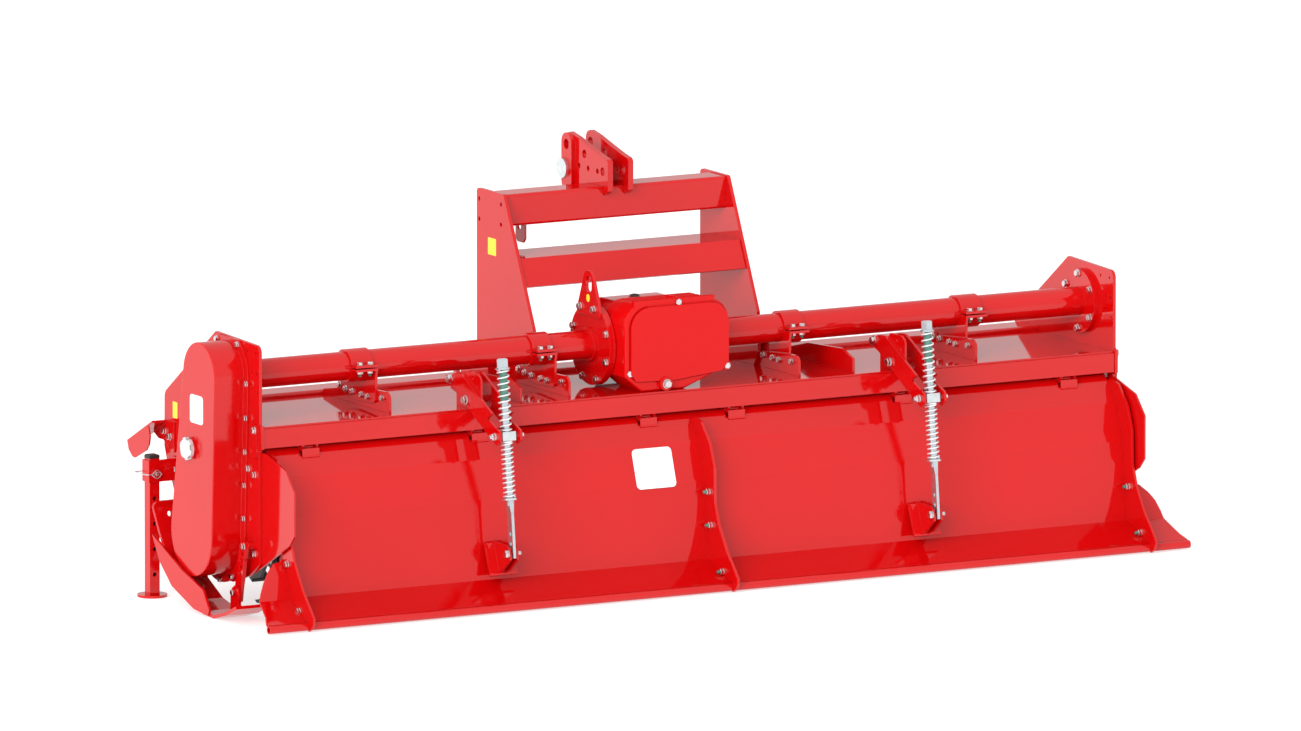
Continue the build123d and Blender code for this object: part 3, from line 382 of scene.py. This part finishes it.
for sgn, word in ((-1, "left"), (1, "right")):
    x = sgn * SPRING_X
    up = coil("upper_coil_" + word, x, 14.6, 205.0, 11.5, "spring_block_" + word, phase=2.2)
    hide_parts("upper_spring_" + word)
    low = coil("lower_coil_" + word, x, -189.2, -14.6, 13.0, "spring_block_" + word, phase=0.6)
    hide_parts("lower_spring_" + word)
    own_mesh(low)

    rod = Mesh(ZINC, THREAD)
    # thread on the upper end of the rod
    prof = []
    n = 34
    for i in range(n):
        s = 110.0 + i * 2.8
        prof += [(12.15, s), (12.75, s + 0.9), (12.75, s + 1.5), (12.15, s + 2.4)]
    rod.lathe(on_rod(x, 0), ROD_UP, prof, 24, 1, smooth=False)
    # chamfered crown of the top nut, and washers at both ends of the springs
    rod.lathe(on_rod(x, 0), ROD_UP, [(15.5, 236.0), (14.2, 237.6), (11.4, 237.6), (11.0, 236.6)], 28, 0)
    rod.lathe(on_rod(x, 0), ROD_UP, [(22.6, 204.4), (23.4, 204.9), (23.4, 206.4), (22.6, 206.9)], 32, 0)
    rod.lathe(on_rod(x, 0), ROD_UP, [(23.0, -196.6), (23.6, -196.1), (23.6, -190.6), (23.0, -190.0)], 32, 0)
    rod.object("rod_trim_" + word, "spring_rod_" + word)

    block = Mesh(ZINC, THREAD)
    for side_x, ax in ((x - 40, LEFT), (x + 40, RIGHT)):
        p = V(side_x, *BLOCK)
        bolt(block, p, ax, 13.0, head=False, thread=0, turn=0.2)
        block.lathe(p + Vector(ax) * 12, ax, [(6.4, 0), (6.4, 6.4), (5.4, 7.4)], 20, 0)
    block.object("block_pins_" + word, "spring_block_" + word)

# ---------------------------------------------------------------------------
# Bolts on the frame
# ---------------------------------------------------------------------------
fb = Mesh(BOLT_RED_REFLECTION, THREAD)
TUBE_Y, TUBE_Z = 189.5, 727.0
ROT_Y, ROT_Z = 240.0, 229.0


# bolts round the drive case's flange: down both sides, over the top and round the foot
case_bolts = [(127, 834), (258, 834)]
for z in (720, 613.5, 508, 404, 300.5):
    q = (737 - z) / 498.0
    case_bolts.append((188.5 - 119.5 + q * 22.0, z))
    case_bolts.append((188.5 + 119.5 + q * 80.0, z))
for deg in (206, 240, 270, 300, 334):
    t = math.radians(deg)
    case_bolts.append((239.5 + 148 * math.cos(t), 239 + 148 * math.sin(t)))
for y, z in case_bolts:
    bolt(fb, V(-1515, y, z), LEFT, 10.5, washer=True)

# gearbox: left flange, cover, drain
for k in range(8):
    a = math.radians(22.5 + 45 * k)
    y, z = TUBE_Y + 114 * math.cos(a), TUBE_Z + 114 * math.sin(a)
    on_eye = z > 820
    bolt(fb, V(-260 if on_eye else -250, y, z + (8 if on_eye else 0)), LEFT, 13.0, turn=0.4 * k)
    if y > 165:
        bolt(fb, V(-228, y, z), RIGHT, 12.0, head=False, thread=4, turn=0.3 * k)
for x, z in ((-209, 655), (134, 655), (-38, 866)):
    bolt(fb, V(x, 14, z), BACK, 13.0, turn=0.1 * x, washer=False)
fb.lathe(V(-86, -2, 617), BACK, [(14.5, 0), (15, 0.5), (15, 2.5), (14.5, 3)], 28, 0)
bolt(fb, V(-86, -5, 617), BACK, 15.5, washer=False)
# right end flange of the cross tube, and the left one's
for k in range(6):
    a = math.radians(30 + 60 * k)
    y, z = TUBE_Y + 86.5 * math.cos(a), TUBE_Z + 86.5 * math.sin(a)
    bolt(fb, V(1482, y, z), LEFT, 13.0, turn=0.5 * k)
    bolt(fb, V(-1482, y, z), RIGHT, 13.0, turn=0.5 * k)
    bolt(fb, V(1508, y, z), RIGHT, 13.0, turn=0.5 * k)

# clamps: two bolts in each rear and front ear
CLAMPS = ((1036.0, 1112.0), (409.0, 479.0))
for c0, c1 in CLAMPS:
    for s in (-1, 1):
        lo, hi = (-c1, -c0) if s < 0 else (c0, c1)
        for q in (0.27, 0.73):
            x = lo + (hi - lo) * q
            for y in (TUBE_Y - 51.5 - 15.5, TUBE_Y + 51.5 + 15.5):
                bolt(fb, V(x, y, TUBE_Z + 10), UP, 11.0, turn=q)
                bolt(fb, V(x, y, TUBE_Z - 10), DOWN, 11.0, head=False, thread=7, washer=False)
        # bolts through bracket web and upright
        web = -c0 - 8 if s < 0 else c0
        for y, z in ((158, 630), (198, 631), (259, 632), (300, 635), (339, 642)):
            if s < 0:
                bolt(fb, V(web, y, z), LEFT, 11.0, turn=y * 0.1)
            else:
                bolt(fb, V(c0 - 8, y, z if z < 640 else 636), LEFT, 11.0, turn=y * 0.1)
                bolt(fb, V(c0 + 8, y, z), RIGHT, 11.0, head=False, thread=6, washer=False)
        bolt(fb, V(-c0 if s < 0 else c0 - 8, 81, 636), LEFT, 11.0)

# spring arms
for s in (-1, 1):
    x = s * SPRING_X
    for y, z in ((104, 674), (6.5, 621)):
        bolt(fb, V(x - 40, y, z), LEFT, 16.0, turn=0.15)
        bolt(fb, V(x + 40, y, z), RIGHT, 16.0, head=False, thread=8)

# side plates, stands and skids
for s in (-1, 1):
    for y, z in ((72, 457), (31, 444), (34, 198.5)):
        bolt(fb, V(s * 1508, y, z), (s, 0, 0), 12.0)
    for y, z in ((455, 392), (520, 392)):
        bolt(fb, V(s * 1518, y, z), (s, 0, 0), 13.0)
    for y, z in ((565, 486), (600, 500)):
        bolt(fb, V(s * 1514, y, z), (s, 0, 0), 12.0)
    bolt(fb, V(s * 1542, 40, 224), (s, 0, 0), 12.0)
    bolt(fb, V(s * 1558, 77, 77), (s, 0, 0), 12.0, washer=False)
    bolt(fb, V(s * 1516, 17, 584), (s, 0, 0), 13.0)
for k in range(6):
    a = math.radians(15 + 60 * k)
    bolt(fb, V(1522, ROT_Y + 82 * math.cos(a), ROT_Z + 82 * math.sin(a)), RIGHT, 12.0)
fb.object("frame_bolts", "frame")

# drive case plug
cap = Mesh(PLUG, THREAD, RED_CAST)
CAP = V(-1616, 237, 505.5)
hexagon(cap, CAP, LEFT, 60.0, 7.0, 2, turn=0.0, chamfer=False)
cap.lathe(CAP, LEFT, [(30.0, 6.5), (30.0, 17.0), (29.0, 17.8)], 48, 0)
cap.lathe(CAP, LEFT, [(30.6, 17.6), (30.6, 19.4), (30.2, 19.6)], 48, 1)
cap.lathe(CAP, LEFT, [(30.2, 19.4), (30.2, 22.2), (28.8, 23.6), (10.0, 23.9)], 48, 0)
teeth = 6
for k in range(teeth):
    a0 = 2 * math.pi * k / teeth + 0.3
    rings = []
    for i in range(7):
        t = a0 + math.radians(30) * (i / 6 - 0.5)
        rings.append([CAP + Vector((-h, r * math.cos(t), r * math.sin(t)))
                      for r, h in ((28.0, 8.0), (34.2, 8.4), (35.2, 9.6), (35.2, 20.4), (34.0, 21.8), (28.0, 22.0))])
    cap.rings(rings, 0)
cap_o = cap.object("case_plug", "frame")
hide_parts("inspection_cap")

# breather on the gearbox
br = Mesh(PLASTIC, ZINC)
br.lathe(V(-65, 240, 843), UP, [(11, 0), (11, 3), (9, 4), (9, 5)], 20, 1)
br.lathe(V(-65, 240, 848), UP, [(13, 0), (15, 1.5), (15, 9), (13.5, 12), (9, 13.5), (2, 14)], 24, 0)
br.object("gearbox_breather", "frame")

# ---------------------------------------------------------------------------
# Tailgate trim
# ---------------------------------------------------------------------------
gb = Mesh(BOLT_RED_REFLECTION, THREAD)
for y, z in ((-123, 292), (-136, 190), (-211, 56)):
    bolt(gb, V(-5, y, z), LEFT, 12.0, head=False, thread=9)
    bolt(gb, V(5, y, z), RIGHT, 12.0)
    if z < 250:
        bolt(gb, V(-1485, y, z), LEFT, 12.0)
        bolt(gb, V(-1477, y, z), RIGHT, 12.0, head=False, thread=9)
        bolt(gb, V(1477, y, z), LEFT, 12.0, head=False, thread=9)
        bolt(gb, V(1485, y, z), RIGHT, 12.0)
for s in (-1, 1):
    x = s * SPRING_X
    bolt(gb, V(x - 16.5, *EYE), LEFT, 14.0, turn=0.25)
    bolt(gb, V(x + 16.5, *EYE), RIGHT, 12.0, head=False, thread=5, washer=False)
gb.object("tailgate_bolts", "tailgate")

# flaps over the gate's hinge notches, folded from the sheet's top edge
hf = Mesh(RED_SHEET)
for x in (-1335.0, -745.0, -155.0, 155.0, 745.0, 1335.0):
    line = [(-13.1, 490.5), (-9.4, 497.0), (-8.8, 518.0)]
    back = [(-14.7, 491.8), (-11.6, 497.6), (-11.0, 518.0)]
    hf.rings([[V(x + k, y, z) for y, z in line[::-1] + back] for k in (-29.5, -29.0, 29.0, 29.5)])
hf.object("hinge_flaps", "tailgate")

# ---------------------------------------------------------------------------
# Blank labels
# ---------------------------------------------------------------------------
def round_rect(w, h, r, n=6):
    pts = []
    for cx, cy, a0 in ((w / 2 - r, h / 2 - r, 0), (-w / 2 + r, h / 2 - r, 90), (-w / 2 + r, -h / 2 + r, 180), (w / 2 - r, -h / 2 + r, 270)):
        for k in range(n):
            t = math.radians(a0 + 90 * k / (n - 1))
            pts.append((cx + r * math.cos(t), cy + r * math.sin(t)))
    return pts


def label(name, body, mat, centre, right, up, w, h, r, t=0.5):
    """Flat rounded label lying on a face: right and up are its directions."""
    right, up = Vector(right).normalized(), Vector(up).normalized()
    nrm = right.cross(up)
    m = Mesh(mat)
    ring = round_rect(w, h, r)
    m.rings([[centre + right * x + up * y + nrm * k for x, y in ring] for k in (0.05, t)])
    return m.object(name, body)


label("case_label", "frame", WHITE_LABEL, V(-1616, 203, 630), (0, -1, 0), (0, 0, 1), 84, 88, 12)
label("side_label", "frame", YELLOW_LABEL, V(-1508, 543, 571), (0, -1, 0), (0, 0, 1), 29, 50, 2)
label("tower_label", "frame", YELLOW_LABEL, V(-400, 541, 993), (0, -1, 0), (0, 0, 1), 51, 53, 3)
label("eye_label", "frame", YELLOW_LABEL, V(-260, 183, 872), (0, -1, 0), (0, 0, 1), 20, 24, 9.5)
label("gate_label", "tailgate", WHITE_LABEL, V(-174, -75.1 - 3.8, 371.5 + 1.3), (1, 0, 0), (0, 40, 117), 138, 126, 14, 0.6)

# ---------------------------------------------------------------------------
# Parking stands
# ---------------------------------------------------------------------------
for s, word in ((-1, "left"), (1, "right")):
    lp = Mesh(ZINC, PLASTIC)
    x = s * 1593.0
    # moulded cap on the leg
    rings = []
    for d, h in ((17.4, 430.0), (18.4, 431.5), (18.4, 437.5), (17.2, 440.5), (13.0, 442.0)):
        ring = []
        for cx, cy, a0 in ((1, 1, 0), (-1, 1, 90), (-1, -1, 180), (1, -1, 270)):
            for k in range(5):
                t = math.radians(a0 + 22.5 * k)
                ring.append(V(x + cx * (d - 4) + 4 * math.cos(t), 536 + cy * (d - 4) + 4 * math.sin(t), h))
        rings.append(ring)
    lp.rings(rings, 1)
    lp.object("leg_cap_" + word, "stand_" + word)

    pin = Mesh(ZINC)
    # lock pin through the sleeve and the wire that snaps round to its far end
    pin.lathe(V(x, 536 - 37, 385), FRONT, [(5.2, 0), (6.2, 1), (6.2, 76), (5.2, 78)], 20, 0)
    wire_path(pin, [(x - s * 17, 504, 383), (x - s * 2, 503.6, 396.5), (x + s * 17, 503.4, 384.6), (x + s * 30, 505, 384),
                    (x + s * 35, 514, 384), (x + s * 37, 540, 384), (x + s * 39, 566, 384), (x + s * 37, 576, 384),
                    (x + s * 28, 580, 384), (x, 578, 384)], 1.7)
    wire_path(pin, [(x - s * 17, 504, 383), (x - s * 2, 503.6, 370.5), (x + s * 17, 503.4, 383)], 1.7)
    pin.object("leg_pin_" + word, "frame")

# ---------------------------------------------------------------------------
# Input shaft with splines
# ---------------------------------------------------------------------------
sh = Mesh(ZINC)
rings = []
for y, k in ((377.5, 1.0), (452.0, 1.0), (454.0, 0.93)):
    ring = []
    for i in range(6):
        for da, r in ((-12, 17.4), (-4, 17.4), (4, 17.4), (12, 17.4), (17, 14.9), (24, 14.7), (36, 14.7), (43, 14.9)):
            t = math.radians(60 * i + da)
            ring.append(V(r * k * math.cos(t), y, 700 + r * k * math.sin(t)))
    rings.append(ring)
sh.rings(rings, 0)
sh.lathe(V(0, 322, 700), FRONT, [(21, -4), (21, 54), (20, 56)], 40, 0)
sh_o = sh.object("splined_shaft", "input_shaft")
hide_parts("input_shaft")

# ---------------------------------------------------------------------------
# Rotor bolts
# ---------------------------------------------------------------------------
rb = Mesh(ZINC, THREAD)
for i in range(12):
    fx = (i - 5.5) * 245.0
    for k in range(3):
        for j in (0, 1):
            ang = math.radians(120 * k + 60 * j + 25 * i)
            for r, off in ((78, 0.0), (100, 0.0)):
                # the arm lies 30 mm either way of the radius: bolts on its middle line
                ly, lz = r, -2.0
                y = ROT_Y + ly * math.cos(ang) - lz * math.sin(ang)
                z = ROT_Z + ly * math.sin(ang) + lz * math.cos(ang)
                hand = 1 if j else -1
                bolt(rb, V(fx + hand * 15, y, z), (hand, 0, 0), 12.0, washer=False, turn=ang)
                bolt(rb, V(fx - hand * 6, y, z), (-hand, 0, 0), 12.0, head=False, thread=5, washer=False, turn=ang)
rb.object("rotor_bolts", "rotor")

# ---------------------------------------------------------------------------
# Stage, light, camera
# ---------------------------------------------------------------------------
me = bpy.data.meshes.new("floor")
me.from_pydata([(-45, -45, 0), (45, -45, 0), (45, 45, 0), (-45, 45, 0)], [], [(0, 1, 2, 3)])
floor = bpy.data.objects.new("floor", me)
bpy.context.scene.collection.objects.link(floor)
fm, nt, s = new_material("floor_pale")
nt.links.new(ramp(nt, noise(nt, 0.6, 2.0), [(0.3, (0.53, 0.53, 0.53)), (0.7, (0.56, 0.56, 0.56))]), s.inputs["Base Color"])
s.inputs["Roughness"].default_value = 0.9
s.inputs["Specular IOR Level"].default_value = 0.1
s.inputs["Emission Color"].default_value = (1, 1, 1, 1)
s.inputs["Emission Strength"].default_value = 0.58
me.materials.append(fm)

world = bpy.data.worlds.new("studio")
bpy.context.scene.world = world
world.use_nodes = True
wt = world.node_tree
bg = wt.nodes["Background"]
bg.inputs["Strength"].default_value = 1.0
# white dome, darker towards the front right horizon
wc = wt.nodes.new("ShaderNodeTexCoord")
dot = wt.nodes.new("ShaderNodeVectorMath")
dot.operation = "DOT_PRODUCT"
dot.inputs[1].default_value = (0.83, 0.55, -0.05)
wt.links.new(wc.outputs["Generated"], dot.inputs[0])
fall = wt.nodes.new("ShaderNodeMapRange")
fall.interpolation_type = "SMOOTHSTEP"
fall.inputs["From Min"].default_value = 0.05
fall.inputs["From Max"].default_value = 0.92
fall.inputs["To Min"].default_value = 1.0
fall.inputs["To Max"].default_value = 0.72
wt.links.new(dot.outputs["Value"], fall.inputs["Value"])
wt.links.new(fall.outputs["Result"], bg.inputs["Color"])

sun = bpy.data.lights.new("key", "SUN")
sun.energy = 2.75
sun.angle = math.radians(40)
sun_o = bpy.data.objects.new("key", sun)
sun_o.rotation_mode = "QUATERNION"
sun_o.rotation_quaternion = Vector((-0.73, -0.58, 0.36)).to_track_quat("Z", "Y")
sun_o.visible_glossy = False
bpy.context.scene.collection.objects.link(sun_o)

cam = bpy.data.cameras.new("camera")
cam.sensor_width = 36.0
cam.lens = 808.65
cam.clip_start = 1.0
cam.clip_end = 400.0
cam_o = bpy.data.objects.new("camera", cam)
back = Vector((-0.4801, -0.8624, 0.1607)).normalized()
cam_o.location = Vector((-0.031, -0.026, 0.641)) + back * 90.0
cam_o.rotation_mode = "QUATERNION"
cam_o.rotation_quaternion = back.to_track_quat("Z", "Y")
bpy.context.scene.collection.objects.link(cam_o)
bpy.context.scene.camera = cam_o
bpy.context.scene.view_settings.view_transform = "Standard"
bpy.context.scene.view_settings.look = "None"
